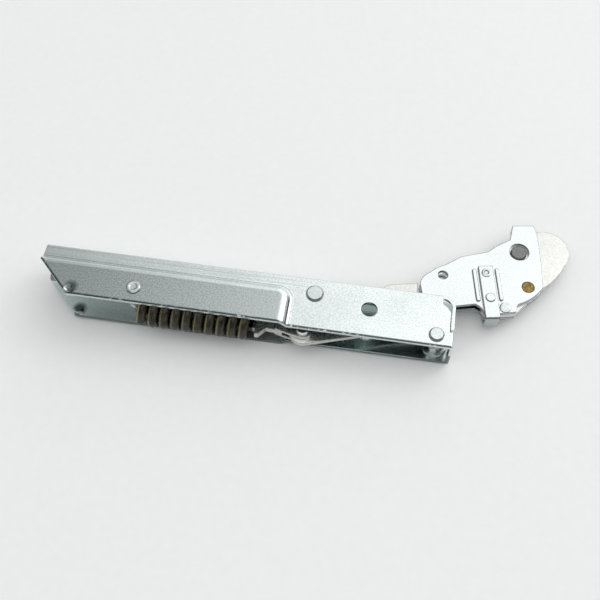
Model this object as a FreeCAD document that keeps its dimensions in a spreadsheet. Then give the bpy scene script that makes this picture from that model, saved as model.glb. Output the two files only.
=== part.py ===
import FreeCAD, Part
import math
import os
import Sketcher

V = FreeCAD.Vector
doc = FreeCAD.newDocument("oven_hinge")

# Driving sizes in millimetres. X runs along the channel to the arm, Y towards the web, Z along the pivot.
# The origin is the axis of the fixing hole at mid thickness.
SIZES = {
    "tail_reach": 161.8,
    "head_reach": 38.5,
    "web_face": 13.8,
    "free_edge": 14.8,
    "channel_thick": 16.4,
    "sheet_thick": 1.5,
    "bulge_rise": 3.0,
    "bulge_gap": 10.6,
    "bulge_side": 6.0,
    "bulge_crest": 5.5,
    "bulge_foot": 3.0,
    "fixing_dia": 7.8,
    "pivot_end": 5.9,
    "pivot_edge": 6.0,
    "pivot_dia": 4.2,
    "stop_x": 26.7,
    "stop_rise": 4.6,
    "stop_dia": 5.0,
    "tail_rivet_dia": 4.0,
    "tail_rivet_edge": 8.1,
    "pip_dia": 5.6,
    "pip_rise": 1.2,
    "spring_edge": 4.1,
    "spring_inset": 16.0,
    "spring_length": 57.0,
    "spring_gap": 0.5,
    "spring_wire": 4.0,
    "spring_turns": 9.0,
    "strap_thick": 3.4,
    "strap_reach": 23.3,
    "strap_pin_drop": 2.0,
    "strap_pin_dia": 4.0,
    "link_gap": 0.3,
    "link_arm": 14.0,
    "link_pin_dia": 3.5,
    "cheek_thick": 1.6,
    "core_thick": 3.0,
    "head_pin_dia": 7.8,
    "brass_pin_dia": 6.0,
    "hook_rivet_dia": 3.4,
    "latch_rivet_dia": 3.0,
    "latch_width": 7.0,
    "latch_thick": 1.3,
    "latch_gap": 1.8,
    "slot_gap": 1.6,
    "lip_high": 1.9,
    "lip_reach": 2.3,
    "lip_bend": 6.2,
}
sheet = doc.addObject("Spreadsheet::Sheet", "Sizes")
for row, (alias, size) in enumerate(SIZES.items(), start=1):
    sheet.set("A%d" % row, alias)
    sheet.set("B%d" % row, str(size))
    sheet.setAlias("B%d" % row, alias)
doc.recompute()


class Dim:
    """A size that keeps its number and its spreadsheet expression together."""

    def __init__(self, value, text):
        self.value = value
        self.text = text

    def join(self, sign, other, value):
        return Dim(value, "(%s %s %s)" % (self.text, sign, text_of(other)))

    def __add__(self, other):
        return self.join("+", other, self.value + number(other))

    def __sub__(self, other):
        return self.join("-", other, self.value - number(other))

    def __mul__(self, other):
        return self.join("*", other, self.value * number(other))

    def __truediv__(self, other):
        return self.join("/", other, self.value / number(other))

    def __neg__(self):
        return Dim(-self.value, "(0 - %s)" % self.text)


def number(x):
    return x.value if isinstance(x, Dim) else float(x)


def text_of(x):
    return x.text if isinstance(x, Dim) else "(%.6f)" % x


def dim(alias):
    return Dim(SIZES[alias], "Sizes." + alias)


def bind(obj, prop, size):
    """Give a property its size, tied to the sheet where the size comes from it."""
    if isinstance(size, Dim):
        obj.setExpression(prop, size.text)
    else:
        setattr(obj, prop, size)


def new_body(name, x=0.0, y=0.0):
    body = doc.addObject("PartDesign::Body", name)
    for axis, size in (("x", x), ("y", y)):
        if isinstance(size, Dim):
            body.setExpression("Placement.Base." + axis, size.text)
    plain = [0.0 if isinstance(s, Dim) else s for s in (x, y)]
    body.Placement.Base = V(plain[0], plain[1], 0)
    return body


def plane_of(body, role):
    return next(f for f in body.Origin.OriginFeatures if f.Role == role)


def new_sketch(body, name, role="XY_Plane", lift=0.0):
    """A sketch on one of the body's own planes, lifted along that plane's normal."""
    sk = body.newObject("Sketcher::SketchObject", name)
    sk.AttachmentSupport = (plane_of(body, role), "")
    sk.MapMode = "FlatFace"
    if isinstance(lift, Dim):
        sk.setExpression("AttachmentOffset.Base.z", lift.text)
    else:
        sk.AttachmentOffset = FreeCAD.Placement(V(0, 0, lift), FreeCAD.Rotation())
    return sk


def place(sk, geo, pos, x, y):
    """Hold one sketch point at its coordinates."""
    for kind, size in (("DistanceX", x), ("DistanceY", y)):
        k = sk.addConstraint(Sketcher.Constraint(kind, -1, 1, geo, pos, number(size)))
        if isinstance(size, Dim):
            sk.setExpression("Constraints[%d]" % k, size.text)


def outline(sk, points):
    """Closed outline. A point is (x, y), or (x, y, mx, my) when an arc through (mx, my) leads to it."""
    count = len(points)
    flat = [V(number(p[0]), number(p[1]), 0) for p in points]
    ends = []
    first = sk.GeometryCount
    for i in range(count):
        a, b, nxt = flat[i], flat[(i + 1) % count], points[(i + 1) % count]
        if len(nxt) == 2:
            sk.addGeometry(Part.LineSegment(a, b), False)
            ends.append((1, 2))
            continue
        mid = V(number(nxt[2]), number(nxt[3]), 0)
        turn = (mid - a).cross(b - mid).z
        arc = Part.Arc(a, mid, b) if turn > 0 else Part.Arc(b, mid, a)
        geo = sk.addGeometry(arc, False)
        ends.append((1, 2) if turn > 0 else (2, 1))
        start = sk.Geometry[geo].StartPoint
        reach = sk.Geometry[geo].Center - start
        if abs(b.x - a.x) < abs(b.y - a.y):
            sk.addConstraint(Sketcher.Constraint("DistanceX", geo, 1, geo, 3, reach.x))
        else:
            sk.addConstraint(Sketcher.Constraint("DistanceY", geo, 1, geo, 3, reach.y))
    for i in range(count):
        j = (i + 1) % count
        sk.addConstraint(Sketcher.Constraint("Coincident", first + i, ends[i][1], first + j, ends[j][0]))
        place(sk, first + i, ends[i][0], points[i][0], points[i][1])


def ring(sk, x, y, dia):
    """Circle of a given diameter at a point."""
    geo = sk.addGeometry(Part.Circle(V(number(x), number(y), 0), V(0, 0, 1), number(dia) / 2), False)
    place(sk, geo, 3, x, y)
    k = sk.addConstraint(Sketcher.Constraint("Diameter", geo, number(dia)))
    if isinstance(dia, Dim):
        sk.setExpression("Constraints[%d]" % k, dia.text)


def pad(body, sk, length, symmetric=False, down=False):
    f = body.newObject("PartDesign::Pad", sk.Name + "_pad")
    f.Profile = sk
    f.SideType = "Symmetric" if symmetric else "One side"
    f.Reversed = down
    bind(f, "Length", length)
    return f


def through_cut(body, sk):
    """Cut all the way through, both ways from the sketch."""
    f = body.newObject("PartDesign::Pocket", sk.Name + "_cut")
    f.Profile = sk
    f.SideType = "Symmetric"
    f.Type = "Length"
    f.Length = 400.0
    return f


def slab_cut(body, sk, length):
    """Cut a slab of a given thickness, centred on the sketch."""
    f = body.newObject("PartDesign::Pocket", sk.Name + "_slot")
    f.Profile = sk
    f.SideType = "Symmetric"
    bind(f, "Length", length)
    return f


def loft(body, name, kind, low, high):
    f = body.newObject("PartDesign::" + kind, name)
    f.Profile = low
    f.Sections = [high]
    f.Ruled = True
    return f


def turned(name, profile, x=0.0, y=0.0):
    """Body of revolution about Z from (radius, height) points."""
    body = new_body(name, x, y)
    sk = new_sketch(body, name + "_profile", "XZ_Plane")
    outline(sk, profile)
    f = body.newObject("PartDesign::Revolution", name + "_turn")
    f.Profile = sk
    f.ReferenceAxis = (sk, ["V_Axis"])
    f.Angle = 360.0
    return body


def rivet(name, x, y, shank_dia, head_dia, half_grip, head_rise, dish=0.0):
    """Rivet with a low bevelled head at both ends, dished in the middle where asked."""
    sr = shank_dia / 2
    hr = head_dia / 2
    top = half_grip + head_rise
    rim = half_grip + head_rise * 0.5
    bevel = hr - 0.7
    points = []
    if dish:
        points += [(0, top - dish), (bevel * 0.5, top - dish), (bevel * 0.75, top)]
    else:
        points += [(0, top)]
    points += [(bevel, top), (hr, rim), (hr, half_grip), (sr, half_grip)]
    points += [(sr, -half_grip), (hr, -half_grip), (hr, -rim), (bevel, -top)]
    if dish:
        points += [(bevel * 0.75, -top), (bevel * 0.5, -(top - dish)), (0, -(top - dish))]
    else:
        points += [(0, -top)]
    return turned(name, points, x, y)


def tube(name, x, y, inner_dia, outer_dia, low, high):
    """Plain tube or washer between two heights."""
    ri = inner_dia / 2
    ro = outer_dia / 2
    return turned(name, [(ri, low), (ro, low), (ro, high), (ri, high)], x, y)


FIT = 0.1
SEAT = 0.03
half = dim("channel_thick") / 2
gauge = dim("sheet_thick")
rise = dim("bulge_rise")
inside = half - gauge
tail = -dim("tail_reach")
head = dim("head_reach")
edge = -dim("free_edge")
web = dim("web_face")
px = head - dim("pivot_end")
py = edge + dim("pivot_edge")
arm_half = dim("cheek_thick") + dim("core_thick") / 2
link_thick = dim("core_thick") - dim("link_gap") * 2

# Chain of positions from the stop rivet to the tail rivet.
stop_x = -dim("stop_x")
stop_y = dim("stop_rise")
base_right = stop_x - dim("bulge_gap")
wire = dim("spring_wire")
spring_right = base_right - dim("spring_inset")
spring_left = spring_right - dim("spring_length")
spring_dia = (inside + rise - dim("spring_gap")) * 2
tongue = spring_dia / 2 - wire - 1.0
sy = edge + dim("spring_edge")
ax = spring_left - dim("tail_rivet_dia") / 2 - 0.4
ay = edge + dim("tail_rivet_edge")
rx = spring_right + dim("strap_reach")
ry = sy - dim("strap_pin_drop")

# Channel, upper half: flange and half of the web, with the bend rounded. The blank is larger than the plan.
far_left = tail - 12
far_front = edge - 8
ch = new_body("channel_half")
sk = new_sketch(ch, "channel_section", "YZ_Plane", far_left)
outline(sk, [
    (far_front, half), (far_front, inside), (web - gauge, inside),
    (web - gauge, 0), (web, 0), (web, half),
])
run = pad(ch, sk, head - far_left)
doc.recompute()


def edges_along_x(shape, y, z):
    """Names of the straight edges along X at a given y and z."""
    found = []
    for i, e in enumerate(shape.Edges, start=1):
        c = e.CenterOfMass
        flat = abs(e.BoundBox.YLength) < 1e-6 and abs(e.BoundBox.ZLength) < 1e-6
        if flat and abs(c.y - y) < 1e-4 and abs(c.z - z) < 1e-4:
            found.append("Edge%d" % i)
    return found


bend = ch.newObject("PartDesign::Fillet", "channel_bend")
bend.Base = (run, edges_along_x(run.Shape, number(web), number(half)))
bind(bend, "Radius", gauge * 1.5)
doc.recompute()
inner_bend = ch.newObject("PartDesign::Fillet", "channel_inner_bend")
inner_bend.Base = (bend, edges_along_x(bend.Shape, number(web - gauge), number(inside)))
bind(inner_bend, "Radius", gauge * 0.5)

# Raised panel over the spring: a sloped block outside, and the same shape one sheet lower cut out inside.
def panel(sk, right, side, corner, past=0.0):
    """Panel outline open to the tail and the free edge, with one rounded corner."""
    k = corner * (1 - math.sqrt(0.5))
    outline(sk, [
        (far_left - past, side),
        (far_left - past, far_front - past),
        (right, far_front - past),
        (right, side - corner),
        (right - corner, side, right - k, side - k),
    ])


base_side = dim("bulge_side")
low = new_sketch(ch, "panel_low", "XY_Plane", half)
panel(low, base_right, base_side, 7.0)
high = new_sketch(ch, "panel_high", "XY_Plane", half + rise)
panel(high, base_right - rise, base_side - rise, 4.0)
loft(ch, "panel_block", "AdditiveLoft", low, high)
inset = gauge * 0.4142
hollow_low = new_sketch(ch, "hollow_low", "XY_Plane", inside - 0.5)
panel(hollow_low, base_right - inset + 0.5, base_side - inset + 0.5, 7.0, 2.0)
hollow_high = new_sketch(ch, "hollow_high", "XY_Plane", inside + rise)
panel(hollow_high, base_right - inset - rise, base_side - inset - rise, 3.5, 2.0)
hollow = loft(ch, "panel_hollow", "SubtractiveLoft", hollow_low, hollow_high)
doc.recompute()


def step_edges(shape, z, right, side):
    """Names of the panel step's edges at one level: its right end, its corner and its side."""
    found = []
    for i, e in enumerate(shape.Edges, start=1):
        b = e.BoundBox
        level = abs(b.ZMin - z) < 1e-4 and abs(b.ZMax - z) < 1e-4
        at_right = abs(b.XMax - right) < 1e-4 and b.YMax < side + 1e-4 and b.YLength > 1.0
        at_side = abs(b.YMax - side) < 1e-4 and b.XMax < right + 1e-4 and b.XLength > 1.0
        if level and (at_right or at_side):
            found.append("Edge%d" % i)
    return found


soft = ch.newObject("PartDesign::Fillet", "panel_crest")
crest = step_edges(hollow.Shape, number(half + rise), number(base_right - rise), number(base_side - rise))
soft.Base = (hollow, crest)
bind(soft, "Radius", dim("bulge_crest"))
doc.recompute()
foot = ch.newObject("PartDesign::Fillet", "panel_foot")
foot.Base = (soft, step_edges(soft.Shape, number(half), number(base_right), number(base_side)))
bind(foot, "Radius", dim("bulge_foot"))

# Dished pip at the tail's corner, pressed inwards.
pip_x = tail + 18.8
pip_y = edge + 2.6


def disc(name, z, dia):
    """Round section of the pip at one level."""
    sk = new_sketch(ch, name, "XY_Plane", z)
    ring(sk, pip_x, pip_y, dia)
    return sk


under = inside + rise
press = dim("pip_rise")
boss_top = disc("pip_boss_top", under + 0.2, dim("pip_dia") + 0.8)
boss_end = disc("pip_boss_end", under - press, dim("pip_dia") * 0.6)
loft(ch, "pip_boss", "AdditiveLoft", boss_top, boss_end)
dent_top = disc("pip_dent_top", half + rise, dim("pip_dia"))
dent_end = disc("pip_dent_end", half + rise - press, dim("pip_dia") * 0.4)
loft(ch, "pip_dent", "SubtractiveLoft", dent_top, dent_end)

# Plan of the channel: square tail at the web, slanted tail at the panel, clipped corner by the arm.
trim = new_sketch(ch, "channel_plan", "XY_Plane")
outline(trim, [
    (far_left - 20, web + 20), (far_left - 20, far_front - 20),
    (head + 30, far_front - 20), (head + 30, web + 20),
])
outline(trim, [
    (tail, web + 2),
    (tail, 3.0),
    (tail + 17.9, edge),
    (head, edge),
    (head, 4.4),
    (head - 4.0, 8.4),
    (head - 4.2, web + 2),
])
through_cut(ch, trim)

# Folded tab across the end, beside the pivot.
tab = new_sketch(ch, "tab_plan", "XY_Plane")
outline(tab, [(head - 0.4, edge), (head + 2.1, edge), (head + 2.1, edge + 8.2), (head - 0.4, edge + 8.2)])
pad(ch, tab, half)
tab_gap = new_sketch(ch, "tab_gap", "XY_Plane")
outline(tab_gap, [
    (head - 0.5, edge - 1), (head + 0.9, edge - 1), (head + 0.9, edge + 5.2), (head + 3.0, edge + 5.2),
    (head + 3.0, edge + 9.0), (head - 0.5, edge + 9.0),
])
f = slab_cut(ch, tab_gap, inside * 2)
doc.recompute()
corner = []
for i, e in enumerate(f.Shape.Edges, start=1):
    b = e.BoundBox
    if b.XLength < 1e-4 and b.ZLength < 1e-4 and abs(b.ZMin - number(half)) < 1e-4:
        if abs(b.XMin - number(head) - 2.1) < 1e-4:
            corner.append("Edge%d" % i)
tab_bend = ch.newObject("PartDesign::Fillet", "tab_bend")
tab_bend.Base = (f, corner)
tab_bend.Radius = 1.0

# Lip of the web, bent round the end beside the slot for the arm.
bent = dim("lip_bend")
lip_out = head + dim("lip_reach")
lip_wall = gauge + 0.1
far = 1 - math.sqrt(0.5)
lip = new_sketch(ch, "lip_plan", "XY_Plane", arm_half + dim("slot_gap"))
outline(lip, [
    (head - 5.0, web), (lip_out - bent, web),
    (lip_out, web - bent, lip_out - bent * far, web - bent * far),
    (lip_out, edge + 10.4), (lip_out - lip_wall, edge + 10.4), (lip_out - lip_wall, web - bent),
    (lip_out - bent, web - lip_wall, lip_out - lip_wall - (bent - lip_wall) * far,
     web - lip_wall - (bent - lip_wall) * far),
    (head - 5.0, web - lip_wall),
])
pad(ch, lip, dim("lip_high"))

# Slot in the web for the arm, and the holes in the flanges.
slot = new_sketch(ch, "arm_slot", "XY_Plane")
outline(slot, [
    (-16.0, web - gauge - 1), (head + 20, web - gauge - 1), (head + 20, web + 1), (-16.0, web + 1),
])
slab_cut(ch, slot, (arm_half + dim("slot_gap")) * 2)
holes = new_sketch(ch, "flange_holes", "XY_Plane")
ring(holes, 0, 0, dim("fixing_dia"))
ring(holes, px, py, dim("pivot_dia") + FIT)
ring(holes, stop_x, stop_y, dim("stop_dia") + FIT)
ring(holes, ax, ay, dim("tail_rivet_dia") + FIT)
through_cut(ch, holes)
doc.recompute()

mirror = doc.addObject("Part::Mirroring", "channel_other_half")
mirror.Source = ch
mirror.Base = V(0, 0, 0)
mirror.Normal = V(0, 0, 1)
channel = doc.addObject("Part::MultiFuse", "hinge_channel")
channel.Shapes = [ch, mirror]
channel.Refine = True

# Rivets and bushes of the channel.
tail_rivet = rivet("tail_rivet", ax, ay, dim("tail_rivet_dia"), dim("tail_rivet_dia") + 3.0,
                   half + rise + SEAT, 1.0, 0.45)
stop_rivet = rivet("stop_rivet", stop_x, stop_y, dim("stop_dia"), dim("stop_dia") + 3.5, half + SEAT, 1.2)
stop_bush = tube("stop_bush", stop_x, stop_y, dim("stop_dia") + FIT, dim("stop_dia") + 2.4,
                 -(inside - SEAT), inside - SEAT)
pivot_rivet = rivet("pivot_rivet", px, py, dim("pivot_dia"), dim("pivot_dia") + 3.1, half + SEAT, 1.2)
washer_low = tube("washer_low", px, py, dim("pivot_dia") + FIT, dim("pivot_dia") + 3.8,
                  -(inside - SEAT), -(arm_half + 0.05))
washer_high = tube("washer_high", px, py, dim("pivot_dia") + FIT, dim("pivot_dia") + 3.8,
                   arm_half + 0.05, inside - SEAT)
washers = doc.addObject("Part::Compound", "pivot_washers")
washers.Links = [washer_low, washer_high]

# Anchor plate on the tail rivet, with its tongue inside the spring.
anchor = new_body("spring_anchor")
sk = new_sketch(anchor, "anchor_plan")
outline(sk, [
    (ax, ay + 4.2),
    (ax, ay - 4.2, ax - 4.2, ay),
    (ax + 4.6, sy - tongue),
    (ax + 20, sy - tongue),
    (ax + 22, sy - tongue * 0.6),
    (ax + 22, sy + tongue * 0.6),
    (ax + 20, sy + tongue),
    (ax + 4.6, sy + tongue),
])
ring(sk, ax, ay, dim("tail_rivet_dia") + FIT)
pad(anchor, sk, dim("strap_thick"), True)

# Coil spring along X.
spring = new_body("coil_spring")
sk = new_sketch(spring, "wire_section")
sk.setExpression("AttachmentOffset.Base.x", (spring_left + wire / 2).text)
sk.setExpression("AttachmentOffset.Base.y", sy.text)
ring(sk, 0, wire / 2 - spring_dia / 2, wire)
coil = spring.newObject("PartDesign::AdditiveHelix", "coil")
coil.Profile = sk
coil.ReferenceAxis = (sk, ["H_Axis"])
coil.Mode = "height-turns-angle"
bind(coil, "Height", dim("spring_length") - wire)
bind(coil, "Turns", dim("spring_turns"))

# Forked strap from the spring to the link.
strap = new_body("pull_strap")
end = spring_right + 0.6
sk = new_sketch(strap, "strap_plan")
outline(sk, [
    (end - 16, sy - tongue * 0.6), (end - 14, sy - tongue), (end, sy - tongue), (end, sy - 7.2),
    (end + 1.8, sy - 7.2), (end + 5.0, sy - 3.2), (rx - 8.0, sy - 4.0), (rx - 8.0, sy + 4.0),
    (end + 5.0, sy + 3.6), (end + 1.8, sy + 7.2), (end, sy + 7.2), (end, sy + tongue),
    (end - 14, sy + tongue), (end - 16, sy + tongue * 0.6),
])
pad(strap, sk, dim("strap_thick"), True)
sk = new_sketch(strap, "fork_plan")
outline(sk, [
    (rx - 13.5, sy - 3.4), (rx - 1.0, ry - 4.49), (rx + 1.2, ry + 4.44, rx + 4.6, ry), (rx - 13.5, sy + 3.7),
])
pad(strap, sk, link_thick + 3.4, True)
sk = new_sketch(strap, "fork_slot")
outline(sk, [(rx - 9.6, ry - 18), (rx + 15, ry - 18), (rx + 15, ry + 22), (rx - 9.6, ry + 22)])
slab_cut(strap, sk, link_thick + 0.4)
sk = new_sketch(strap, "strap_hole")
ring(sk, rx, ry, dim("strap_pin_dia") + FIT)
through_cut(strap, sk)
strap_pin = rivet("strap_pin", rx, ry, dim("strap_pin_dia"), dim("strap_pin_dia") + 2.4,
                  link_thick / 2 + 1.7 + SEAT, 0.9)

# Cranked link: eye on the strap pin, narrow part under the fixing hole, shoulder beside it, eye at the arm.
link = new_body("pull_link")
qx = px
qy = py + dim("link_arm")
sk = new_sketch(link, "link_plan")
outline(sk, [
    (rx + 2.5, ry - 6.2, rx - 6.685, ry),
    (-6.0, edge + 2.8),
    (12.0, edge + 8.6),
    (qx + 1.2, qy - 6.49),
    (qx - 3.0, qy + 5.88, qx + 6.6, qy),
    (22.4, web),
    (22.0, web + 8.5),
    (11.0, web + 6.3),
    (5.2, web + 1.8, 7.2, web + 4.9),
    (5.2, 1.4),
    (-4.9, -2.23, 0.935, -5.303),
    (-9.0, -4.9),
    (rx + 2.0, ry + 6.379),
])
ring(sk, rx, ry, dim("strap_pin_dia") + FIT)
ring(sk, qx, qy, dim("link_pin_dia") + 5.0)
pad(link, sk, link_thick, True)

# Arm plates, drawn about the pivot.
lower_edge = [
    (8.1, 6.5), (8.1, 19.9), (17.6, 22.5), (22.1, 18.6, 20.4, 21.0), (22.9, 17.3),
    (37.2, 20.9), (37.7, 23.6), (38.9, 25.8, 38.0, 25.0), (40.9, 26.9), (49.9, 36.6, 46.0, 31.2), (48.7, 51.7),
]
upper_edge = [
    (33.1, 62.6), (28.2, 59.1), (25.8, 57.2), (22.4, 53.7), (9.7, 49.0), (1.7, 42.7), (-5.3, 37.4, -2.1, 40.4),
    (-9.7, 30.3, -8.5, 34.1), (-8.2, 24.8),
]
small_eye = [(-4.4, 0), (4.26, -1.07, 0, -4.4)]
wide_eye = [(-6.2, 0), (6.01, -1.51, 0, -6.2)]
cheek = dim("cheek_thick")
core_half = dim("core_thick") / 2
HEAD_PIN = (37.8, 56.0)
BRASS_PIN = (42.7, 35.9)
HOOK_RIVET = (32.1, 22.6)
LATCH_PIN = (22.0, 40.3)
LATCH_TILT = 10.0
HOOK_DEPTH = 22.6
hook_dia = dim("hook_rivet_dia")
latch_pin_dia = dim("latch_rivet_dia")
wide = dim("latch_width") / 2


def capsule(sk, x, low, high, width):
    """Bar with round ends along the sketch's own Y."""
    r = width / 2
    outline(sk, [(x - r, low), (x + r, low, x, low - r), (x + r, high), (x - r, high, x, high + r)])


def cheek_holes(sk):
    ring(sk, 0, 0, dim("pivot_dia") + FIT)
    ring(sk, 0, dim("link_arm"), dim("link_pin_dia") + FIT)
    ring(sk, *HEAD_PIN, dim("head_pin_dia") + 2.0)
    ring(sk, *BRASS_PIN, dim("brass_pin_dia") + FIT)
    ring(sk, *HOOK_RIVET, hook_dia + FIT)
    ring(sk, *LATCH_PIN, latch_pin_dia + FIT)
    ring(sk, 1.1, 36.7, 4.8)


front = new_body("arm_front_plate", px, py)
sk = new_sketch(front, "front_plan", "XY_Plane", core_half)
outline(sk, lower_edge + [(46.5, 68.4), (44.65, 73.2), (34.15, 71.6)] + upper_edge + small_eye)
cheek_holes(sk)
pad(front, sk, cheek)
sk = new_sketch(front, "fold_plan", "XY_Plane")
outline(sk, [(34.4, 70.0), (44.9, 71.6), (44.65, 73.2), (34.15, 71.6)])
pad(front, sk, arm_half * 2, True)
sk = new_sketch(front, "rib_plan", "XY_Plane", arm_half - 0.2)
sk.AttachmentOffset = FreeCAD.Placement(V(*LATCH_PIN, 0), FreeCAD.Rotation(V(0, 0, 1), LATCH_TILT))
capsule(sk, -wide - 2.1, -14.5, 2.0, 1.8)
capsule(sk, wide + 2.1, -14.5, 2.0, 1.8)
pad(front, sk, 1.0)

rear = new_body("arm_rear_plate", px, py)
sk = new_sketch(rear, "rear_plan", "XY_Plane", -core_half)
outline(sk, lower_edge + [(46.8, 67.0), (33.5, 65.6)] + upper_edge + wide_eye)
cheek_holes(sk)
pad(rear, sk, cheek, False, True)

core = new_body("arm_core_plate", px, py)
sk = new_sketch(core, "core_plan")
outline(sk, [
    (20.9, 20.6), (22.2, 18.9), (22.9, 17.4), (37.2, 21.0), (38.5, 22.1), (48.8, 36.2),
    (60.6, 52.2, 55.9, 43.6), (45.2, 69.86, 59.39, 67.79), (34.6, 68.6), (33.8, 62.6), (28.4, 58.6),
    (22.6, 53.2), (13.0, 49.4),
    (13.0, 47.0), (17.2, 38.0), (19.2, 30.0),
])
ring(sk, *HEAD_PIN, dim("head_pin_dia") + 0.04)
ring(sk, *BRASS_PIN, dim("brass_pin_dia") + FIT)
ring(sk, *HOOK_RIVET, hook_dia + FIT)
ring(sk, *LATCH_PIN, latch_pin_dia + FIT)
pad(core, sk, dim("core_thick") - 2 * SEAT, True)


def pin(name, at, dia, half_length, bevel):
    """Plain pin with bevelled ends, in the arm."""
    r = dia / 2
    return turned(name, [
        (0, -half_length), (r - bevel, -half_length), (r, -half_length + bevel), (r, half_length - bevel),
        (r - bevel, half_length), (0, half_length),
    ], px + at[0], py + at[1])


eye_collar = tube("eye_collar", px, py, dim("pivot_dia") + FIT, dim("pivot_dia") + 2.0,
                  -(core_half - SEAT), core_half - SEAT)
link_pin = rivet("link_pin", px, py + dim("link_arm"), dim("link_pin_dia"), dim("link_pin_dia") + 2.6,
                 arm_half + SEAT, 0.8)
head_pin = pin("head_pin", HEAD_PIN, dim("head_pin_dia"), arm_half - 0.3, 0.4)
brass_pin = pin("brass_pin", BRASS_PIN, dim("brass_pin_dia"), arm_half + 0.1, 0.3)
hook_rivet = rivet("hook_rivet", px + HOOK_RIVET[0], py + HOOK_RIVET[1], hook_dia, hook_dia + 2.2,
                   arm_half + SEAT, 0.6)

# Lock latch: strap folded round the hook, swinging on its hollow rivet.
leg_in = arm_half + 0.12
leg_out = leg_in + dim("latch_thick")
latch_rivet = rivet("latch_rivet", px + LATCH_PIN[0], py + LATCH_PIN[1], latch_pin_dia, latch_pin_dia + 1.8,
                    leg_out + 0.05, 0.5, 0.4)
latch = new_body("lock_latch", px + LATCH_PIN[0], py + LATCH_PIN[1])
latch.Placement.Rotation = FreeCAD.Rotation(V(0, 0, 1), LATCH_TILT)
drop = -(dim("latch_gap") + HOOK_DEPTH)
sk = new_sketch(latch, "latch_plan")
outline(sk, [
    (-wide, drop - dim("latch_thick")), (wide, drop - dim("latch_thick")), (wide, 4.0), (-wide, 4.0),
])
pad(latch, sk, leg_out * 2, True)
sk = new_sketch(latch, "latch_gap")
outline(sk, [(-wide - 1, drop), (wide + 1, drop), (wide + 1, 6.0), (-wide - 1, 6.0)])
slab_cut(latch, sk, leg_in * 2)
sk = new_sketch(latch, "latch_hole")
ring(sk, 0, 0, latch_pin_dia + FIT)
through_cut(latch, sk)
sk = new_sketch(latch, "latch_boss", "XY_Plane", leg_out - 0.2)
ring(sk, 0.2, -14.2, 4.6)
boss = pad(latch, sk, 0.7)
doc.recompute()
wrap = []
for i, e in enumerate(boss.Shape.Edges, start=1):
    b = e.BoundBox
    low_edge = abs(b.YMin - number(drop - dim("latch_thick"))) < 1e-4 and b.YLength < 1e-4
    if low_edge and b.ZLength < 1e-4 and b.XLength > 1.0:
        wrap.append("Edge%d" % i)
fold = latch.newObject("PartDesign::Fillet", "latch_fold")
fold.Base = (boss, wrap)
bind(fold, "Radius", dim("latch_thick") * 0.9)
doc.recompute()

NODES = [
    channel, tail_rivet, stop_rivet, stop_bush, pivot_rivet, washers, anchor, spring, strap, strap_pin, link,
    front, rear, core, eye_collar, link_pin, head_pin, brass_pin, hook_rivet, latch_rivet, latch,
]
for obj in doc.Objects:
    if "Invalid" in obj.State or "Error" in obj.State:
        raise RuntimeError("%s is %s" % (obj.Name, obj.State))
for node in NODES:
    if node.Shape.isNull() or not node.Shape.isValid():
        raise RuntimeError("%s has no valid shape" % node.Name)
os.makedirs("parts", exist_ok=True)
for node in NODES:
    node.Shape.exportStep("parts/%s.step" % node.Name)
    print(node.Name, len(node.Shape.Solids), round(node.Shape.Volume, 1))
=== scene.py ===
import math

import bpy
from mathutils import Matrix, Vector


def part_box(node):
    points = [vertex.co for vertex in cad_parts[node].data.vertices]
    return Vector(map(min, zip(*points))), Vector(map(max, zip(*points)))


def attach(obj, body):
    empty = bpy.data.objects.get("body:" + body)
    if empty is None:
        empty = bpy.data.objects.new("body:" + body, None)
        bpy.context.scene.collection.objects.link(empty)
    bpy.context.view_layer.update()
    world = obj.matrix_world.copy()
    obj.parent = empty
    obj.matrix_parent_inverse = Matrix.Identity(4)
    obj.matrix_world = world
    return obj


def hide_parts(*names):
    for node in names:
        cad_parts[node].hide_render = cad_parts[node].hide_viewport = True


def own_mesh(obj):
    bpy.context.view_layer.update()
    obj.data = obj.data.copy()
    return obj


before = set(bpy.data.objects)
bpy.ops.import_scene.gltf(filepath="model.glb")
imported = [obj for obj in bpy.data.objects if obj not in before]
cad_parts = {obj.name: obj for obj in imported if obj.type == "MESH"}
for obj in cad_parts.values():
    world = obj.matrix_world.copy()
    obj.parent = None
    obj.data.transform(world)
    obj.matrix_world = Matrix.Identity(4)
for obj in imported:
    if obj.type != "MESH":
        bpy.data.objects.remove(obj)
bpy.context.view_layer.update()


# Hinge channel. One blank of 1.5 mm sheet steel, folded into two flanges and a web, with a
# panel drawn out of each flange over the spring. Bright zinc plated after folding, so the
# plating covers the edges too and shows the grain of the sheet.
SHEET = 0.0015
FLANGE_FACE, PANEL_FACE = 0.0082, 0.0112
OPEN_EDGE = -0.0148


def linear(code):
    parts = [int(code[i:i + 2], 16) / 255 for i in (1, 3, 5)]
    return tuple(c / 12.92 if c <= 0.04045 else ((c + 0.055) / 1.055) ** 2.4 for c in parts) + (1.0,)


def per_mm(size):
    # Texture scale that gives marks of this size in mm, on coordinates in metres.
    return 1000.0 / size


def add(tree, kind, inputs=(), **settings):
    made = tree.nodes.new(kind)
    for name, value in settings.items():
        setattr(made, name, value)
    for socket, value in dict(inputs).items():
        if isinstance(value, bpy.types.NodeSocket):
            tree.links.new(value, made.inputs[socket])
        else:
            made.inputs[socket].default_value = value
    return made


def new_finish(name):
    finish = bpy.data.materials.new(name)
    finish.use_nodes = True
    finish.node_tree.nodes.clear()
    return finish, finish.node_tree


CLOUD_MM, ROLL_RUN_MM, NICK_MM = 22, 70, 1.6
GRAIN_DEPTH = 0.0002
NOISE_LOW, NOISE_HIGH = 0.36, 0.64


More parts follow.
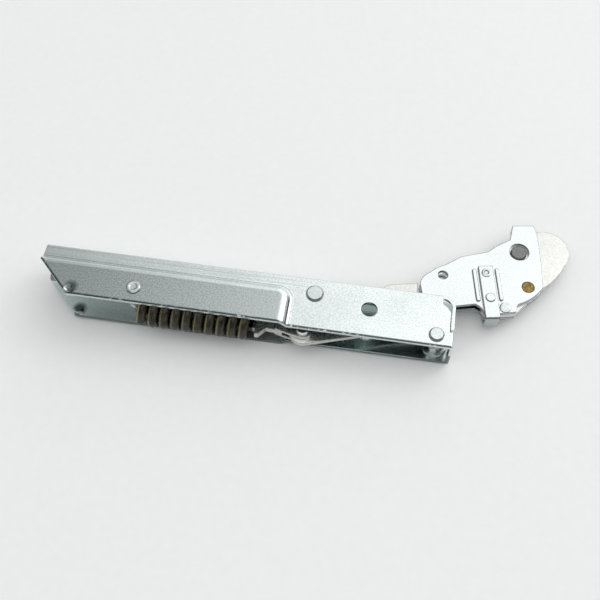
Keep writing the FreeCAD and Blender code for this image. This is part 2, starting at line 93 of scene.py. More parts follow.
def plated_steel(name, pale, deep, edge, grain_mm, roll_mm, rolled, rough, bump, edge_mm):
    # Plated steel: fine grain from the blank, faint rolling lines along it, slow clouds from the
    # bath, and a band along the cut edges painted in the edge colour, a painted highlight where it
    # is pale and painted shade where it is dark, broken by nicks of wear. The grain and the lines
    # are drawn coarser than real ones, so that they show.
    finish, tree = new_finish(name)
    place = add(tree, "ShaderNodeTexCoord").outputs["Object"]
    grain = add(tree, "ShaderNodeTexNoise",
                {"Vector": place, "Scale": per_mm(grain_mm), "Detail": 2.0, "Roughness": 0.65})
    cloud = add(tree, "ShaderNodeTexNoise",
                {"Vector": place, "Scale": per_mm(CLOUD_MM), "Detail": 3.0})
    drawn = add(tree, "ShaderNodeMapping",
                {"Vector": place, "Scale": (per_mm(ROLL_RUN_MM), per_mm(roll_mm), per_mm(roll_mm))})
    lines = add(tree, "ShaderNodeTexNoise", {"Vector": drawn.outputs[0], "Scale": 1.0, "Detail": 2.0})
    tone = add(tree, "ShaderNodeMath", {0: grain.outputs[0], 1: 0.7 - rolled}, operation="MULTIPLY")
    tone = add(tree, "ShaderNodeMath", {0: cloud.outputs[0], 1: 0.3, 2: tone.outputs[0]},
               operation="MULTIPLY_ADD")
    tone = add(tree, "ShaderNodeMath", {0: lines.outputs[0], 1: rolled, 2: tone.outputs[0]},
               operation="MULTIPLY_ADD")
    tone = add(tree, "ShaderNodeMapRange",
               {"Value": tone.outputs[0], "From Min": NOISE_LOW, "From Max": NOISE_HIGH}).outputs[0]
    colour = add(tree, "ShaderNodeMix", {0: tone, 6: linear(deep), 7: linear(pale)}, data_type="RGBA")
    soft = add(tree, "ShaderNodeBevel", {"Radius": edge_mm / 1000}, samples=6)
    true = add(tree, "ShaderNodeNewGeometry")
    turned = add(tree, "ShaderNodeVectorMath", {0: soft.outputs[0], 1: true.outputs["Normal"]},
                 operation="DOT_PRODUCT")
    # Painted edge band: a pale edge colour paints a highlight, a dark one paints shade.
    painted_edge_band = add(tree, "ShaderNodeMapRange",
               {"Value": turned.outputs["Value"], "From Min": 0.96, "From Max": 0.75})
    nick = add(tree, "ShaderNodeTexNoise",
               {"Vector": place, "Scale": per_mm(NICK_MM), "Detail": 2.0})
    nick = add(tree, "ShaderNodeMapRange",
               {"Value": nick.outputs[0], "From Min": 0.36, "From Max": 0.44}).outputs[0]
    rim = add(tree, "ShaderNodeMix", {0: nick, 6: linear("#99a2a1"), 7: linear(edge)}, data_type="RGBA")
    share = add(tree, "ShaderNodeMath", {0: painted_edge_band.outputs[0], 1: 0.5}, operation="MULTIPLY")
    colour = add(tree, "ShaderNodeMix",
                 {0: share.outputs[0], 6: colour.outputs[2], 7: rim.outputs[2]}, data_type="RGBA")
    gloss = add(tree, "ShaderNodeMapRange", {"Value": tone, "To Min": rough[1], "To Max": rough[0]})
    relief = add(tree, "ShaderNodeBump", {"Height": grain.outputs[0], "Normal": soft.outputs[0],
                                          "Strength": bump, "Distance": GRAIN_DEPTH})
    shader = add(tree, "ShaderNodeBsdfPrincipled",
                 {"Base Color": colour.outputs[2], "Metallic": 1.0, "Roughness": gloss.outputs[0],
                  "Normal": relief.outputs[0]})
    add(tree, "ShaderNodeOutputMaterial", {"Surface": shader.outputs[0]})
    return finish


def shader_of(finish):
    return next(n for n in finish.node_tree.nodes if n.type == "BSDF_PRINCIPLED")


def stain(finish, *marks):
    # Lays each mark's colour over the plating, by the share of it that shows, in this order.
    tree, face = finish.node_tree, shader_of(finish).inputs["Base Color"]
    coat = face.links[0].from_socket
    for share, colour in marks:
        coat = add(tree, "ShaderNodeMix", {0: share, 6: coat, 7: colour}, data_type="RGBA").outputs[2]
    tree.links.new(coat, face)


def dress(finish, *names):
    for name in names:
        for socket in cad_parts[name].material_slots:
            socket.material = finish


# Bright zinc on folded sheet gives a pale, faintly blue mirror, broken up by fine grain. Its
# pale edge colour paints a highlight along the cut edges.
channel_zinc = plated_steel("bright_zinc_on_folded_sheet", "#e9f0ee", "#cbd5d3", "#f4f8f7",
                            grain_mm=0.8, roll_mm=0.8, rolled=0.10, rough=(0.15, 0.26), bump=0.06,
                            edge_mm=0.55)
tree = channel_zinc.node_tree
place = add(tree, "ShaderNodeTexCoord").outputs["Object"]
spot = add(tree, "ShaderNodeSeparateXYZ", {0: place}).outputs
level = add(tree, "ShaderNodeMath", {0: spot["Z"]}, operation="ABSOLUTE").outputs[0]

# The drawn panel was stretched over the punch, which left its face duller and more grained
# than the flat flange round it. Its tone is painted darker towards the tail and lighter towards
# the right: painted shade and painted reflection. No other face of the sheet lies as far out.
PANEL_TAIL, PANEL_RIGHT = -0.140, -0.045
FLECK_MM = 0.7
drawn = add(tree, "ShaderNodeMapRange",
            {"Value": level, "From Min": PANEL_FACE - 0.00012,
             "From Max": PANEL_FACE - 0.00002}).outputs[0]
fleck = add(tree, "ShaderNodeTexNoise",
            {"Vector": place, "Scale": per_mm(FLECK_MM), "Detail": 2.0, "Roughness": 0.7})
fleck = add(tree, "ShaderNodeMapRange",
            {"Value": fleck.outputs[0], "From Min": NOISE_LOW, "From Max": NOISE_HIGH}).outputs[0]
# Painted shade at the tail and painted reflection at the right end of the panel.
painted_light_along_panel = add(tree, "ShaderNodeMapRange",
             {"Value": spot["X"], "From Min": PANEL_TAIL, "From Max": PANEL_RIGHT,
              "To Min": -0.20, "To Max": 0.34}).outputs[0]
fleck = add(tree, "ShaderNodeMath", {0: fleck, 1: painted_light_along_panel}, operation="ADD", use_clamp=True).outputs[0]
matt = add(tree, "ShaderNodeMix", {0: fleck, 6: linear("#909898"), 7: linear("#c2c9c8")},
           data_type="RGBA").outputs[2]

# Fine lines, as a die leaves them, run along the strip between the panel and the web, and a
# dark line of painted shade runs in the crease round the foot of the panel.
STRIP_SIDE, STRIP_END = (0.0040, 0.0060), (-0.020, -0.044)
DRAG_MM, DRAG_RUN_MM = 0.6, 90
drag = add(tree, "ShaderNodeMapping",
           {"Vector": place, "Scale": (per_mm(DRAG_RUN_MM), per_mm(DRAG_MM), per_mm(DRAG_MM))})
drag = add(tree, "ShaderNodeTexNoise", {"Vector": drag.outputs[0], "Scale": 1.0, "Detail": 2.0})
drag = add(tree, "ShaderNodeMapRange",
           {"Value": drag.outputs[0], "From Min": 0.50, "From Max": 0.68, "To Max": 0.35}).outputs[0]
strip = add(tree, "ShaderNodeMapRange",
            {"Value": spot["Y"], "From Min": STRIP_SIDE[0], "From Max": STRIP_SIDE[1]}).outputs[0]
beside = add(tree, "ShaderNodeMapRange",
             {"Value": spot["X"], "From Min": STRIP_END[0], "From Max": STRIP_END[1]}).outputs[0]
strip = add(tree, "ShaderNodeMath", {0: strip, 1: beside}, operation="MULTIPLY").outputs[0]
strip = add(tree, "ShaderNodeMath", {0: strip, 1: drag}, operation="MULTIPLY").outputs[0]
# Painted shade in the crease at the foot of the panel.
above = add(tree, "ShaderNodeMapRange",
            {"Value": level, "From Min": FLANGE_FACE + 0.00002, "From Max": FLANGE_FACE + 0.00008,
             "To Max": 0.4}).outputs[0]
under = add(tree, "ShaderNodeMapRange",
            {"Value": level, "From Min": FLANGE_FACE + 0.00030, "From Max": FLANGE_FACE + 0.00015})
painted_crease_shade = add(tree, "ShaderNodeMath", {0: above, 1: under.outputs[0]}, operation="MULTIPLY").outputs[0]

# The shears rolled the upper edges over; along them runs a dark line of painted shade, broken
# like torn burrs. The cut face of the lower edge is darkened with painted shade.
TAIL_SLANT, SLANT_EDGE = (0.705, 0.709, 0.0), (-0.1108, -0.1112)
TORN_MM = 2.0
faces = add(tree, "ShaderNodeNewGeometry").outputs["True Normal"]
faces = add(tree, "ShaderNodeSeparateXYZ", {0: faces}).outputs["Z"]
near_edge = add(tree, "ShaderNodeMapRange",
                {"Value": spot["Y"], "From Min": OPEN_EDGE + 0.0013, "From Max": OPEN_EDGE + 0.0008})
slant = add(tree, "ShaderNodeVectorMath", {0: place, 1: TAIL_SLANT}, operation="DOT_PRODUCT")
near_slant = add(tree, "ShaderNodeMapRange",
                 {"Value": slant.outputs["Value"], "From Min": SLANT_EDGE[0],
                  "From Max": SLANT_EDGE[1]})
near_edge = add(tree, "ShaderNodeMath", {0: near_edge.outputs[0], 1: near_slant.outputs[0]},
                operation="MAXIMUM").outputs[0]
upper = add(tree, "ShaderNodeMath", {0: spot["Z"], 1: FLANGE_FACE - 0.0001},
            operation="GREATER_THAN").outputs[0]
upper = add(tree, "ShaderNodeMath", {0: upper, 1: faces}, operation="MULTIPLY").outputs[0]
torn = add(tree, "ShaderNodeTexNoise", {"Vector": place, "Scale": per_mm(TORN_MM), "Detail": 3.0})
torn = add(tree, "ShaderNodeMapRange",
           {"Value": torn.outputs[0], "From Min": 0.30, "From Max": 0.42}).outputs[0]
# Painted shade along the rolled upper edges.
rolled_edge_shade = add(tree, "ShaderNodeMath", {0: near_edge, 1: upper}, operation="MULTIPLY").outputs[0]
rolled_edge_shade = add(tree, "ShaderNodeMath", {0: rolled_edge_shade, 1: torn}, operation="MULTIPLY").outputs[0]
# Painted shade on the lower cut face.
cut_face = add(tree, "ShaderNodeMath", {0: spot["Y"], 1: OPEN_EDGE + 0.0003},
               operation="LESS_THAN").outputs[0]
lower_cut_face_shade = add(tree, "ShaderNodeMath", {0: spot["Z"], 1: 0.0}, operation="LESS_THAN").outputs[0]
lower_cut_face_shade = add(tree, "ShaderNodeMath", {0: cut_face, 1: lower_cut_face_shade}, operation="MULTIPLY").outputs[0]

# The pips at the tail have dark rings of painted shade in their hollows. Inside, the lower
# flange is darkened with painted shade, and more in a painted shadow below the fixing hole.
PIP, PIP_SHADE_RING = (-0.1424, -0.0108, 0.0), (0.0042, 0.0018)
LOWER_INSIDE = SHEET - FLANGE_FACE
INSIDE_SHADE_STARTS, INSIDE_SHADE_ENDS = (-0.040, -0.034), (0.030, 0.022)
HOLE_SHADE_SPOT, HOLE_SHADE_RING = (0.0, 0.0080, LOWER_INSIDE), (0.0080, 0.0062)
NO_HEIGHT = (1.0, 1.0, 0.0)
pip = add(tree, "ShaderNodeVectorMath", {0: place, 1: NO_HEIGHT}, operation="MULTIPLY").outputs[0]
pip = add(tree, "ShaderNodeVectorMath", {0: pip, 1: PIP}, operation="DISTANCE").outputs["Value"]
# Painted shade in the pip hollows.
pip_shade = add(tree, "ShaderNodeMapRange",
            {"Value": pip, "From Min": PIP_SHADE_RING[0], "From Max": PIP_SHADE_RING[1],
             "To Max": 0.85}).outputs[0]
# Painted shade on the inside of the lower flange.
inside_shade = add(tree, "ShaderNodeMapRange",
           {"Value": spot["X"], "From Min": INSIDE_SHADE_STARTS[0], "From Max": INSIDE_SHADE_STARTS[1],
            "To Max": 0.9}).outputs[0]
inside_shade_end = add(tree, "ShaderNodeMapRange",
               {"Value": spot["X"], "From Min": INSIDE_SHADE_ENDS[0], "From Max": INSIDE_SHADE_ENDS[1]}).outputs[0]
inside_shade = add(tree, "ShaderNodeMath", {0: inside_shade, 1: inside_shade_end}, operation="MULTIPLY").outputs[0]
inside = add(tree, "ShaderNodeMath", {0: spot["Z"], 1: LOWER_INSIDE, 2: 0.0003},
             operation="COMPARE").outputs[0]
inside_shade = add(tree, "ShaderNodeMath", {0: inside_shade, 1: inside}, operation="MULTIPLY").outputs[0]
# Painted shadow on the lower flange below the fixing hole.
below = add(tree, "ShaderNodeVectorMath", {0: place, 1: HOLE_SHADE_SPOT}, operation="DISTANCE")
hole_shade = add(tree, "ShaderNodeMapRange",
             {"Value": below.outputs["Value"], "From Min": HOLE_SHADE_RING[0],
              "From Max": HOLE_SHADE_RING[1]}).outputs[0]
stain(channel_zinc,
      (strip, linear("#9aa3a2")), (drawn, matt), (painted_crease_shade, linear("#5f6767")),
      (rolled_edge_shade, linear("#4b5152")), (lower_cut_face_shade, linear("#767d7c")), (pip_shade, linear("#42484a")),
      (inside_shade, linear("#a9bab9")), (hole_shade, linear("#7b8a85")))

# The panel is dull on both sides of the sheet.
PANEL_ROUGHNESS = 0.38
inner = add(tree, "ShaderNodeMath", {0: level, 1: PANEL_FACE - SHEET, 2: 0.0002},
            operation="COMPARE").outputs[0]
dull = add(tree, "ShaderNodeMath", {0: drawn, 1: inner}, operation="MAXIMUM").outputs[0]
gloss = shader_of(channel_zinc).inputs["Roughness"]
dull = add(tree, "ShaderNodeMix", {0: dull, 2: gloss.links[0].from_socket, 3: PANEL_ROUGHNESS})
tree.links.new(dull.outputs[0], gloss)
dress(channel_zinc, "hinge_channel")


# Rivets through the channel, with the bush and washers they carry. Turned or headed from
# soft steel bar, zinc plated, and closed on the machine.
ARM_FROM = 0.045

# Satin zinc on rivet steel gives a soft, pale shine, with a painted highlight along the edges.
# The walls of the heads outside the sheet are darkened with painted shade.
rivet_zinc = plated_steel("satin_zinc_on_rivet_steel", "#dde3e2", "#c1c9c8", "#eef3f2",
                          grain_mm=0.7, roll_mm=0.7, rolled=0.05, rough=(0.16, 0.26), bump=0.07,
                          edge_mm=0.35)
tree = rivet_zinc.node_tree
spot = add(tree, "ShaderNodeTexCoord").outputs["Object"]
spot = add(tree, "ShaderNodeSeparateXYZ", {0: spot}).outputs
outside = add(tree, "ShaderNodeMath", {0: spot["Z"]}, operation="ABSOLUTE").outputs[0]
outside = add(tree, "ShaderNodeMath", {0: outside, 1: FLANGE_FACE - 0.0001},
              operation="GREATER_THAN").outputs[0]
on_arm = add(tree, "ShaderNodeMath", {0: spot["X"], 1: ARM_FROM}, operation="GREATER_THAN").outputs[0]
outside = add(tree, "ShaderNodeMath", {0: outside, 1: on_arm}, operation="MAXIMUM").outputs[0]
faces = add(tree, "ShaderNodeNewGeometry").outputs["True Normal"]
faces = add(tree, "ShaderNodeSeparateXYZ", {0: faces}).outputs["Z"]
faces = add(tree, "ShaderNodeMath", {0: faces}, operation="ABSOLUTE").outputs[0]
# Painted shade on the walls of the heads.
wall = add(tree, "ShaderNodeMapRange", {"Value": faces, "From Min": 0.93, "From Max": 0.60}).outputs[0]
wall = add(tree, "ShaderNodeMath", {0: wall, 1: outside}, operation="MULTIPLY").outputs[0]
stain(rivet_zinc, (wall, linear("#646b6b")))
dress(rivet_zinc, "tail_rivet", "stop_rivet", "stop_bush", "pivot_rivet", "pivot_washers")


# Spring anchor. A flat blanked plate on the tail rivet, its tongue inside the spring. Such
# small blanks are plated loose in a drum.
DRUM_RIM = 0.0005
TONGUE_SHADE_FROM, TONGUE_SHADE_TO = (-0.1120, -0.1105), (-0.0525, -0.0545)
LINK_HOLE_SHADE_RING = (0.0075, 0.0055)

# Drum zinc is duller and slightly yellow. The tongues inside the spring are darkened with
# painted shade, the link below the fixing hole with a painted shadow, and the cut edges with
# dark lines of painted shade.
drum_zinc = plated_steel("dull_drum_zinc_on_blanks", "#e2e2de", "#cccdc8", "#6b6c66",
                         grain_mm=1.1, roll_mm=1.0, rolled=0.05, rough=(0.22, 0.34), bump=0.10,
                         edge_mm=0.45)
tree = drum_zinc.node_tree
place = add(tree, "ShaderNodeTexCoord").outputs["Object"]
run = add(tree, "ShaderNodeSeparateXYZ", {0: place}).outputs["X"]
# Painted shade on the tongues inside the spring.
from_tail = add(tree, "ShaderNodeMapRange",
                {"Value": run, "From Min": TONGUE_SHADE_FROM[0], "From Max": TONGUE_SHADE_FROM[1]})
to_strap = add(tree, "ShaderNodeMapRange",
               {"Value": run, "From Min": TONGUE_SHADE_TO[0], "From Max": TONGUE_SHADE_TO[1]})
tongue_shade = add(tree, "ShaderNodeMath", {0: from_tail.outputs[0], 1: to_strap.outputs[0]},
            operation="MULTIPLY").outputs[0]
# Painted shadow on the link below the fixing hole.
hole = add(tree, "ShaderNodeVectorMath", {0: place, 1: NO_HEIGHT}, operation="MULTIPLY").outputs[0]
hole = add(tree, "ShaderNodeVectorMath", {0: hole}, operation="LENGTH").outputs["Value"]
link_hole_shade = add(tree, "ShaderNodeMapRange",
              {"Value": hole, "From Min": LINK_HOLE_SHADE_RING[0], "From Max": LINK_HOLE_SHADE_RING[1]}).outputs[0]
soft = add(tree, "ShaderNodeBevel", {"Radius": DRUM_RIM}, samples=8).outputs[0]
true = add(tree, "ShaderNodeNewGeometry").outputs["True Normal"]
lean = add(tree, "ShaderNodeVectorMath", {0: soft, 1: true}, operation="DOT_PRODUCT").outputs["Value"]
# Painted shade along the cut edges.
rim = add(tree, "ShaderNodeMapRange",
          {"Value": lean, "From Min": 0.985, "From Max": 0.90, "To Max": 0.6}).outputs[0]
stain(drum_zinc, (tongue_shade, linear("#2b2820")), (link_hole_shade, linear("#8b9895")), (rim, linear("#4d4e49")))
dress(drum_zinc, "spring_anchor")


# Coil spring. Round spring steel wire, wound close in nine and a half turns, hardened in oil
# and left with its dark scale. Its right end is drawn in and out with the strap.
WIRE = 0.0046
TURNS = 9.5
TURN_STEPS, WIRE_SIDES = 48, 24
SCALE_SPOT_MM, LINE_RUN_MM = 3.0, 60
spring_low, spring_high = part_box("coil_spring")
coil_radius = (spring_high[2] - spring_low[2]) / 2 - WIRE / 2

# Oil-tempered wire is nearly black with a brown cast. It has soft highlights and lines from the
# drawing die along it, and a pale painted highlight on the left flank of each turn.
oiled_wire, tree = new_finish("oil_tempered_spring_wire")
wire_round = add(tree, "ShaderNodeAttribute", attribute_name="wire_round").outputs["Vector"]
wire_run = add(tree, "ShaderNodeAttribute", attribute_name="wire_run").outputs["Fac"]
along = add(tree, "ShaderNodeCombineXYZ", {"Z": wire_run})
drawn = add(tree, "ShaderNodeVectorMath", {0: wire_round, 1: (3.0, 3.0, 3.0), 2: along.outputs[0]},
            operation="MULTIPLY_ADD")
draw_lines = add(tree, "ShaderNodeTexNoise",
                 {"Vector": drawn.outputs[0], "Scale": 2.0, "Detail": 3.0, "Roughness": 0.6})
place = add(tree, "ShaderNodeTexCoord").outputs["Object"]
scale_spots = add(tree, "ShaderNodeTexNoise",
                  {"Vector": place, "Scale": per_mm(SCALE_SPOT_MM), "Detail": 4.0})
mixed = add(tree, "ShaderNodeMath", {0: draw_lines.outputs[0], 1: scale_spots.outputs[0]},
            operation="ADD")
mixed = add(tree, "ShaderNodeMapRange", {"Value": mixed.outputs[0], "From Min": 0.75, "From Max": 1.25})
colour = add(tree, "ShaderNodeMix", {0: mixed.outputs[0], 6: linear("#1a1813"), 7: linear("#4a463b")},
             data_type="RGBA")
# Painted highlight on the left flanks of the turns.
side = add(tree, "ShaderNodeNewGeometry").outputs["Normal"]
side = add(tree, "ShaderNodeSeparateXYZ", {0: side}).outputs["X"]
left_flank_highlight = add(tree, "ShaderNodeMapRange", {"Value": side, "From Min": -0.40, "From Max": -0.72})
left_flank_highlight = add(tree, "ShaderNodeMath", {0: left_flank_highlight.outputs[0], 1: draw_lines.outputs[0]},
             operation="MULTIPLY")
colour = add(tree, "ShaderNodeMix",
             {0: left_flank_highlight.outputs[0], 6: colour.outputs[2], 7: linear("#cbc488")}, data_type="RGBA")
gloss = add(tree, "ShaderNodeMapRange", {"Value": mixed.outputs[0], "To Min": 0.22, "To Max": 0.38})
relief = add(tree, "ShaderNodeBump",
             {"Height": draw_lines.outputs[0], "Strength": 0.12, "Distance": GRAIN_DEPTH})
shader = add(tree, "ShaderNodeBsdfPrincipled",
             {"Base Color": colour.outputs[2], "Metallic": 0.55, "Roughness": gloss.outputs[0],
              "Normal": relief.outputs[0]})
add(tree, "ShaderNodeOutputMaterial", {"Surface": shader.outputs[0]})

winding = bpy.data.node_groups.new("spring_winding", "GeometryNodeTree")
winding.interface.new_socket("Spring", in_out="OUTPUT", socket_type="NodeSocketGeometry")
sizes = {"Turns": TURNS, "Coil Radius": coil_radius, "Rise": spring_high[0] - spring_low[0] - WIRE,
         "Wire Radius": WIRE / 2}
for name in sizes:
    winding.interface.new_socket(name, in_out="INPUT", socket_type="NodeSocketFloat")
given = add(winding, "NodeGroupInput").outputs
helix = add(winding, "GeometryNodeCurveSpiral",
            {"Resolution": TURN_STEPS, "Rotations": given["Turns"],
             "Start Radius": given["Coil Radius"], "End Radius": given["Coil Radius"],
             "Height": given["Rise"]})
run = add(winding, "GeometryNodeSplineParameter").outputs["Length"]
run = add(winding, "ShaderNodeMath", {0: run, 1: per_mm(LINE_RUN_MM)}, operation="MULTIPLY")
helix = add(winding, "GeometryNodeStoreNamedAttribute",
            {"Geometry": helix.outputs[0], "Name": "wire_run", "Value": run.outputs[0]},
            data_type="FLOAT", domain="POINT")
section = add(winding, "GeometryNodeCurvePrimitiveCircle",
              {"Resolution": WIRE_SIDES, "Radius": given["Wire Radius"]})
rim = add(winding, "GeometryNodeInputPosition")
rim = add(winding, "ShaderNodeVectorMath", {0: rim.outputs[0], "Scale": 2 / WIRE}, operation="SCALE")
section = add(winding, "GeometryNodeStoreNamedAttribute",
              {"Geometry": section.outputs[0], "Name": "wire_round", "Value": rim.outputs[0]},
              data_type="FLOAT_VECTOR", domain="POINT")
wire = add(winding, "GeometryNodeCurveToMesh",
           {"Curve": helix.outputs[0], "Profile Curve": section.outputs[0], "Fill Caps": True})
wire = add(winding, "GeometryNodeSetShadeSmooth", {0: wire.outputs[0]})
wire = add(winding, "GeometryNodeRealizeInstances", {0: wire.outputs[0]})
wire = add(winding, "GeometryNodeSetMaterial", {"Geometry": wire.outputs[0], "Material": oiled_wire})
add(winding, "NodeGroupOutput", {0: wire.outputs[0]})


def wound(name, group, values):
    piece = bpy.data.objects.new(name, bpy.data.meshes.new(name))
    bpy.context.scene.collection.objects.link(piece)
    maker = piece.modifiers.new(group.name, "NODES")
    maker.node_group = group
    for socket in group.interface.items_tree:
        if socket.in_out == "INPUT":
            maker[socket.identifier] = values[socket.name]
    ready = piece.evaluated_get(bpy.context.evaluated_depsgraph_get())
    made = bpy.data.meshes.new_from_object(ready)
    piece.modifiers.clear()
    piece.data = made
    return piece


spring = wound("spring_coil", winding, sizes)
lay_along = Matrix(((0, 0, 1), (-1, 0, 0), (0, -1, 0))).to_4x4()
middle = (spring_low[1] + spring_high[1]) / 2
seat = Vector((spring_low[0] + WIRE / 2, middle, 0))
spring.data.transform(Matrix.Translation(seat) @ lay_along)
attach(spring, "channel")
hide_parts("coil_spring")
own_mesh(spring)


# Pull strap, its pin and the pull link. Blanks of drum-plated steel: the strap's tongue sits
# in the spring, its fork takes the link on a headed pin, and the link draws on the arm.
dress(drum_zinc, "pull_strap", "pull_link")
dress(rivet_zinc, "strap_pin")


# Arm. Two pressed cheeks over a thick core with a rounded nose, riveted together. The cheeks
# are plated bright, as the channel is, and the core has the drum's duller plating.
ARM_EDGE = 0.0007

# Bright zinc on pressed cheeks gives a pale, smooth face. The cut edges and the flanks of the
# two ribs are darkened with painted shade, found by a softened normal.
arm_zinc = plated_steel("bright_zinc_on_pressed_cheeks", "#e4e9e8", "#d8dedd", "#4c5353",
                        grain_mm=0.8, roll_mm=1.0, rolled=0.03, rough=(0.14, 0.22), bump=0.04,
                        edge_mm=0.7)
tree = arm_zinc.node_tree
soft = add(tree, "ShaderNodeBevel", {"Radius": ARM_EDGE}, samples=8)
lean = add(tree, "ShaderNodeSeparateXYZ", {0: soft.outputs[0]}).outputs["Z"]
lean = add(tree, "ShaderNodeMath", {0: lean}, operation="ABSOLUTE").outputs[0]
# Painted shade on the cut edges and the rib flanks.
painted_outline = add(tree, "ShaderNodeMapRange",
           {"Value": lean, "From Min": 0.985, "From Max": 0.88, "To Max": 0.75}).outputs[0]
upright = add(tree, "ShaderNodeMapRange",
              {"Value": lean, "From Min": 0.35, "From Max": 0.15}).outputs[0]
painted_outline_tone = add(tree, "ShaderNodeMix", {0: upright, 6: linear("#343a3a"), 7: linear("#a3aaaa")},
            data_type="RGBA").outputs[2]
stain(arm_zinc, (painted_outline, painted_outline_tone))
dress(arm_zinc, "arm_front_plate", "arm_rear_plate")
dress(drum_zinc, "arm_core_plate")
dress(rivet_zinc, "eye_collar", "link_pin", "hook_rivet", "latch_rivet")


# Head pin. A plain pin of grey steel in a wide hole through the cheeks, ground flush and left
# unplated. Ground steel is matt and mid grey, and mirrors nothing clearly.
# Its pale edge colour paints a highlight along the edges.
bare_steel = plated_steel("bare_grey_pin_steel", "#8d8e8e", "#6c6d6d", "#b9bcbc",
                          grain_mm=0.7, roll_mm=0.7, rolled=0.05, rough=(0.46, 0.62), bump=0.14,
                          edge_mm=0.3)
dress(bare_steel, "head_pin")


# Brass-coloured pin near the nose. A steel pin with a thick yellow passivated coat, which
# looks like dull brass and is mottled brown where it has pooled.
# Its pale edge colour paints a highlight along the edges.
yellow_coat = plated_steel("yellow_passivated_pin", "#a18a52", "#574523", "#bfa66e",
                           grain_mm=1.6, roll_mm=1.2, rolled=0.05, rough=(0.36, 0.55), bump=0.12,
                           edge_mm=0.3)
dress(yellow_coat, "brass_pin")


# Lock latch. A strap of thin sheet folded round the hook, swinging on a hollow rivet, with
# a half round boss pressed in its front leg. It is plated as the cheeks are.
dress(arm_zinc, "lock_latch")


# Floor. A sheet of paper, matt and nearly white. The arm is heavy, so the hinge tips to the
# right and stands on the end of its lower panel and on the pivot rivet's head, and the sheet
# follows that slope.
FIBRE_MM = 4.0
FLOOR_REACH = 3.0
SLOPE_LEFT, SLOPE_RIGHT = -0.30, 0.24
PANEL_STANDS, RIVET_STANDS = (-0.04258, -0.01120), (0.03555, -0.00943)
paper, tree = new_finish("matt_paper_floor")
place = add(tree, "ShaderNodeTexCoord").outputs["Object"]
fibre = add(tree, "ShaderNodeTexNoise", {"Vector": place, "Scale": per_mm(FIBRE_MM), "Detail": 3.0})
tint = add(tree, "ShaderNodeMix",
           {0: fibre.outputs[0], 6: linear("#f3f3f3"), 7: linear("#f8f8f8")}, data_type="RGBA")
shader = add(tree, "ShaderNodeBsdfPrincipled", {"Base Color": tint.outputs[2], "Roughness": 0.85})
add(tree, "ShaderNodeOutputMaterial", {"Surface": shader.outputs[0]})
slope = (RIVET_STANDS[1] - PANEL_STANDS[1]) / (RIVET_STANDS[0] - PANEL_STANDS[0])
rows = [(x, PANEL_STANDS[1] + slope * (min(max(x, SLOPE_LEFT), SLOPE_RIGHT) - PANEL_STANDS[0]))
        for x in (-FLOOR_REACH, SLOPE_LEFT, SLOPE_RIGHT, FLOOR_REACH)]
sheet = bpy.data.meshes.new("floor")
sheet.from_pydata([(x, y, z) for x, z in rows for y in (-FLOOR_REACH, FLOOR_REACH)], [],
                  [(i, i + 2, i + 3, i + 1) for i in (0, 2, 4)])
sheet.materials.append(paper)
floor = bpy.data.objects.new("floor", sheet)
bpy.context.scene.collection.objects.link(floor)


# Studio light. A lit silk behind, brighter to the right, a bright ceiling, a grey room at the
# sides and in front, a dark flag low at the back right, and a small soft box for the panel's
# crest.
ROOM_STRENGTH = 1.34


def soft_box(name, spot, aim, size, power):
    lamp = bpy.data.lights.new(name, "AREA")
    lamp.shape = "RECTANGLE"
    lamp.size, lamp.size_y = size
    lamp.energy = power
    stand = bpy.data.objects.new(name, lamp)
    stand.location = spot
    stand.rotation_euler = (Vector(aim) - Vector(spot)).to_track_quat("-Z", "Y").to_euler()
    bpy.context.scene.collection.objects.link(stand)


soft_box("right_soft_box", (0.68, 0.60, 0.75), (-0.04, 0.0, 0.0), (0.50, 0.50), 1.5)
room = bpy.data.worlds.new("studio_room")
bpy.context.scene.world = room
room.use_nodes = True
tree = room.node_tree
tree.nodes.clear()
way = add(tree, "ShaderNodeTexCoord").outputs["Generated"]
way = add(tree, "ShaderNodeSeparateXYZ", {0: way}).outputs

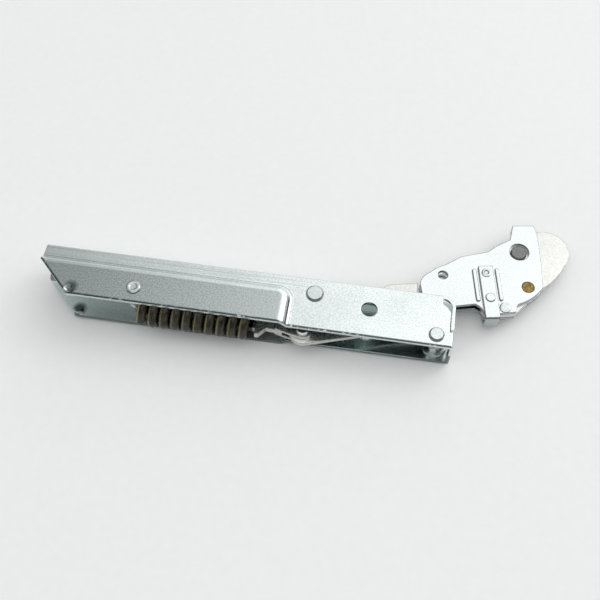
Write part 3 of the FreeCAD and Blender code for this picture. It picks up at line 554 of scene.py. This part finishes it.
# Each share of the room goes from none to full between two directions along one axis.
shares = {}
for name, axis, none, full in (("rise", "Z", -0.10, 0.05), ("behind", "Y", 0.0, 0.30),
                               ("across", "X", -0.40, 0.0), ("before", "Y", -0.10, -0.40),
                               ("low", "Z", 0.36, 0.20), ("overhead", "Z", 0.62, 0.76),
                               ("aside", "X", 0.60, 0.80), ("flag_top", "Z", 0.45, 0.30),
                               ("back_right", "Y", 0.18, 0.34)):
    shares[name] = add(tree, "ShaderNodeMapRange",
                       {"Value": way[axis], "From Min": none, "From Max": full}).outputs[0]
for name, first, second in (("low_front", "before", "low"), ("lit", "rise", "behind"),
                            ("flag_side", "aside", "flag_top"), ("flag", "flag_side", "back_right")):
    shares[name] = add(tree, "ShaderNodeMath", {0: shares[first], 1: shares[second]},
                       operation="MULTIPLY").outputs[0]
silk = add(tree, "ShaderNodeMix", {0: shares["across"], 6: linear("#8f9191"), 7: linear("#fafafa")},
           data_type="RGBA").outputs[2]
wall = linear("#b0b2b2")
for name, colour in (("before", linear("#6a6e6e")), ("low_front", linear("#9a9c9c")),
                     ("overhead", linear("#f4f5f5")), ("lit", silk), ("flag", linear("#303333"))):
    wall = add(tree, "ShaderNodeMix", {0: shares[name], 6: wall, 7: colour}, data_type="RGBA").outputs[2]
glow = add(tree, "ShaderNodeBackground", {"Color": wall, "Strength": ROOM_STRENGTH})
add(tree, "ShaderNodeOutputWorld", {"Surface": glow.outputs[0]})


# Camera. It looks steeply down on the open side of the channel, from a little to the right
# of the middle, as the photograph does.
LOOK_AT = Vector((-0.03396, 0.00485, 0.0))
ELEVATION, AZIMUTH, DISTANCE = math.radians(59.5), math.radians(8.73), 0.42815
FILM_WIDTH_MM, LENS_MM = 36.0, 52.62
back = Vector((math.sin(AZIMUTH) * math.cos(ELEVATION), -math.cos(AZIMUTH) * math.cos(ELEVATION),
               math.sin(ELEVATION)))
camera = bpy.data.objects.new("camera", bpy.data.cameras.new("camera"))
camera.data.sensor_width = FILM_WIDTH_MM
camera.data.lens = LENS_MM
camera.location = LOOK_AT + back * DISTANCE
camera.rotation_euler = (-back).to_track_quat("-Z", "Y").to_euler()
camera.data.clip_start = 0.01
bpy.context.scene.collection.objects.link(camera)
bpy.context.scene.camera = camera
bpy.context.scene.view_settings.view_transform = "Standard"
